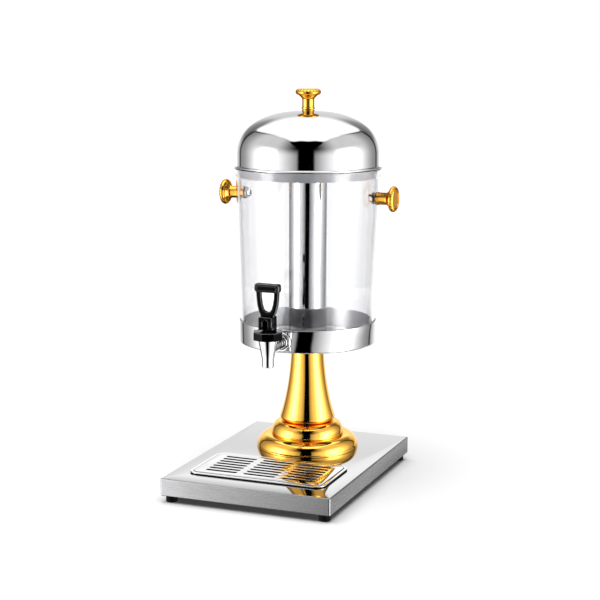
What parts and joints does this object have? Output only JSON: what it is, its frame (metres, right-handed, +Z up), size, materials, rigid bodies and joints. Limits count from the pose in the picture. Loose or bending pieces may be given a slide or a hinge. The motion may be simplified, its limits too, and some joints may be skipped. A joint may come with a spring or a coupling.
{
  "type": "beverage dispenser",
  "caption": "Countertop juice dispenser: steel base with drip tray, gold column, clear tank with ice tube, domed lid and self-closing tilt-handle tap.",
  "frame": {"origin": "on the counter, under the centre of the whole dispenser", "axes": "+Z up, the tap faces -Y, +X to the right of someone who looks at the back from the front"},
  "size_m": [0.2788, 0.3588, 0.5813],
  "materials": {
    "brushed_steel": "brushed",
    "polished_steel": "mirror polished",
    "zinc_steel": "zinc plated",
    "gold_plate": "gold plated and polished",
    "chrome": "polished",
    "clear_polycarbonate": "clear",
    "black_nylon": "satin",
    "black_rubber": "matt",
    "white_silicone": "matt"
  },
  "bodies": {
    "stand": {"base_backing_plate": "zinc_steel", "base_shell": "brushed_steel", "bottom_pan": "brushed_steel", "column_foot_ring": "gold_plate", "column_mid_ring": "gold_plate", "column_neck": "gold_plate", "foot_back_left": "black_rubber", "foot_back_right": "black_rubber", "foot_front_left": "black_rubber", "foot_front_right": "black_rubber", "foot_nut_back_left": "zinc_steel", "foot_nut_back_right": "zinc_steel", "foot_nut_front_left": "zinc_steel", "foot_nut_front_right": "zinc_steel", "foot_screw_back_left": "zinc_steel", "foot_screw_back_right": "zinc_steel", "foot_screw_front_left": "zinc_steel", "foot_screw_front_right": "zinc_steel", "ice_tube": "polished_steel", "ice_tube_seal": "black_rubber", "side_knob_left": "gold_plate", "side_knob_nut_left": "polished_steel", "side_knob_nut_right": "polished_steel", "side_knob_right": "gold_plate", "side_knob_seal_left": "black_rubber", "side_knob_seal_right": "black_rubber", "side_knob_washer_left": "polished_steel", "side_knob_washer_right": "polished_steel", "tank": "clear_polycarbonate", "tank_seat_ring": "white_silicone", "tap_body": "chrome", "tap_bonnet": "black_nylon", "tap_escutcheon": "chrome", "tap_inner_seal": "white_silicone", "tap_lock_nut": "zinc_steel", "tap_outer_seal": "black_rubber", "tap_spring": "zinc_steel", "tap_stem_seal": "black_rubber", "tie_rod": "zinc_steel", "tie_rod_nut": "zinc_steel", "tie_rod_washer": "zinc_steel"},
    "lid": {"lid_dome": "polished_steel", "lid_skirt": "brushed_steel", "lid_knob": "gold_plate", "lid_knob_washer": "zinc_steel", "lid_knob_nut": "zinc_steel"},
    "tray": {"drip_tray": "polished_steel"},
    "grille": {"drip_grille": "polished_steel"},
    "stem": {"tap_stem": "black_nylon", "tap_seat_cup": "white_silicone", "tap_pin": "polished_steel"},
    "handle": {"tap_handle": "black_nylon"}
  },
  "joints": [
    {"name": "lid_lift", "type": "slide", "parent": "stand", "child": "lid", "axis": [0, 0, 1], "range_m": [0, 0.15]},
    {"name": "tray_lift", "type": "slide", "parent": "stand", "child": "tray", "axis": [0, 0, 1], "range_m": [0, 0.06]},
    {"name": "grille_lift", "type": "slide", "parent": "tray", "child": "grille", "axis": [0, 0, 1], "range_m": [0, 0.06]},
    {"name": "stem_lift", "type": "slide", "parent": "stand", "child": "stem", "axis": [0, 0, 1], "range_m": [0, 0.00393], "deforming": ["tap_spring"]},
    {"name": "handle_tilt", "type": "hinge", "parent": "stem", "child": "handle", "pos_m": [0, -0.08885, 0.2518], "axis": [1, 0, 0], "range_deg": [0, 50], "stiffness_Nm_per_rad": 0.08, "springref_deg": -28.65}
  ],
  "couplings": [
    {"joint": "handle_tilt", "follows": "stem_lift", "rad_per_m": 222.22}
  ]
}
